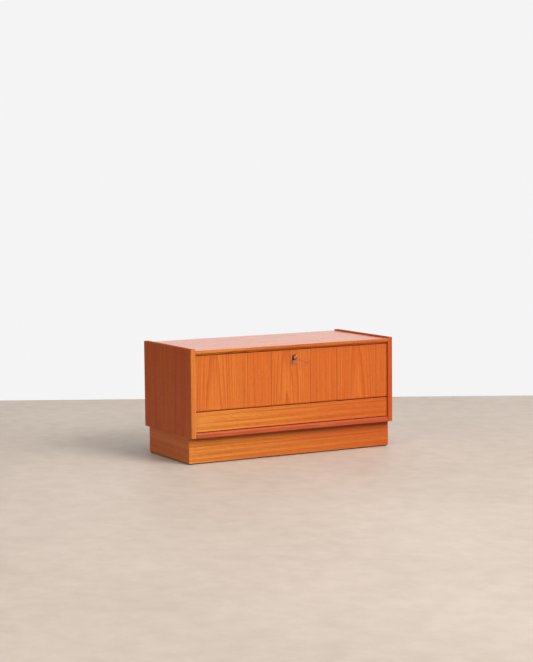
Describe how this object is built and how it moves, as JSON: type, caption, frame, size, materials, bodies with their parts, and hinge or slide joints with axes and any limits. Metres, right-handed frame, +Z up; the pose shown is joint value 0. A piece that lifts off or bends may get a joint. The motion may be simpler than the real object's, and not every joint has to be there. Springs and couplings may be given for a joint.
{
  "type": "sewing table",
  "caption": "Low teak cabinet on a recessed plinth, with a lockable front flap that drops to a work surface and a shallow full-width drawer below it.",
  "frame": {"origin": "on the floor, under the middle of the whole object's bounding box, key included", "axes": "+X along the width to the viewer's right, +Y from the front to the back, +Z up"},
  "size_m": [0.9, 0.437, 0.444],
  "materials": {
    "teak_veneer": "satin lacquer over veneer",
    "solid_teak": "satin lacquer over solid wood",
    "beech": "plain sanded",
    "plywood": "plain sanded",
    "brass": "brushed, slightly dulled",
    "steel": "nickel plated, worn",
    "glide_plastic": "matte"
  },
  "bodies": {
    "carcass": {"back_panel": "plywood", "back_screws": "steel", "bottom_lipping": "solid_teak", "bottom_panel": "teak_veneer", "carcass_dowels": "beech", "centre_partition": "teak_veneer", "drawer_runner_left": "beech", "drawer_runner_right": "beech", "flap_pivot_left": "brass", "flap_pivot_right": "brass", "plinth_back": "teak_veneer", "plinth_brace": "beech", "plinth_corner_blocks": "beech", "plinth_front": "teak_veneer", "plinth_glides": "glide_plastic", "plinth_side_left": "teak_veneer", "plinth_side_right": "teak_veneer", "runner_screws": "steel", "shelf_lipping": "solid_teak", "shelf_panel": "teak_veneer", "side_lipping_left": "solid_teak", "side_lipping_right": "solid_teak", "side_panel_left": "teak_veneer", "side_panel_right": "teak_veneer", "stay_pin_left": "steel", "stay_pin_right": "steel", "strike_plate": "brass", "strike_screws": "steel", "top_lipping": "solid_teak", "top_panel": "teak_veneer"},
    "flap": {"bracket_screws": "steel", "flap_bottom_lipping": "solid_teak", "flap_end_lipping_left": "solid_teak", "flap_end_lipping_right": "solid_teak", "flap_hinge_plate_left": "brass", "flap_hinge_plate_right": "brass", "flap_panel": "teak_veneer", "flap_top_lipping": "solid_teak", "keyhole_liner": "brass", "lock_cap": "steel", "lock_case": "steel", "lock_screws": "steel", "stay_bracket_left": "steel", "stay_bracket_right": "steel", "stay_rivets": "steel"},
    "drawer": {"drawer_back": "beech", "drawer_bottom": "plywood", "drawer_cross_dividers": "beech", "drawer_front": "teak_veneer", "drawer_long_divider": "beech", "drawer_side_left": "beech", "drawer_side_right": "beech", "thread_pegs": "beech", "thread_rail": "beech"},
    "key": {"key": "steel"},
    "lock_bolt": {"lock_bolt": "steel"},
    "stay_left": {"stay_arm_left": "steel"},
    "stay_right": {"stay_arm_right": "steel"}
  },
  "joints": [
    {"name": "flap_hinge", "type": "hinge", "parent": "carcass", "child": "flap", "pos_m": [0, -0.184, 0.213], "axis": [1, 0, 0], "range_deg": [0, 90]},
    {"name": "stay_left_turn", "type": "hinge", "parent": "flap", "child": "stay_left", "pos_m": [-0.417, -0.16679, 0.32165], "axis": [1, 0, 0], "range_deg": [-45, 0]},
    {"name": "stay_right_turn", "type": "hinge", "parent": "flap", "child": "stay_right", "pos_m": [0.417, -0.16679, 0.32165], "axis": [1, 0, 0], "range_deg": [-45, 0]},
    {"name": "key_turn", "type": "hinge", "parent": "flap", "child": "key", "pos_m": [0, -0.2, 0.3905], "axis": [0, 1, 0], "range_deg": [0, 90]},
    {"name": "bolt_slide", "type": "slide", "parent": "flap", "child": "lock_bolt", "axis": [0, 0, 1], "range_m": [0, 0.008]},
    {"name": "drawer_slide", "type": "slide", "parent": "carcass", "child": "drawer", "axis": [0, -1, 0], "range_m": [0, 0.3]}
  ],
  "couplings": [
    {"joint": "stay_left_turn", "follows": "flap_hinge", "ratio": -0.5},
    {"joint": "stay_right_turn", "follows": "flap_hinge", "ratio": -0.5},
    {"joint": "key_turn", "follows": "bolt_slide", "rad_per_m": 196.35}
  ]
}
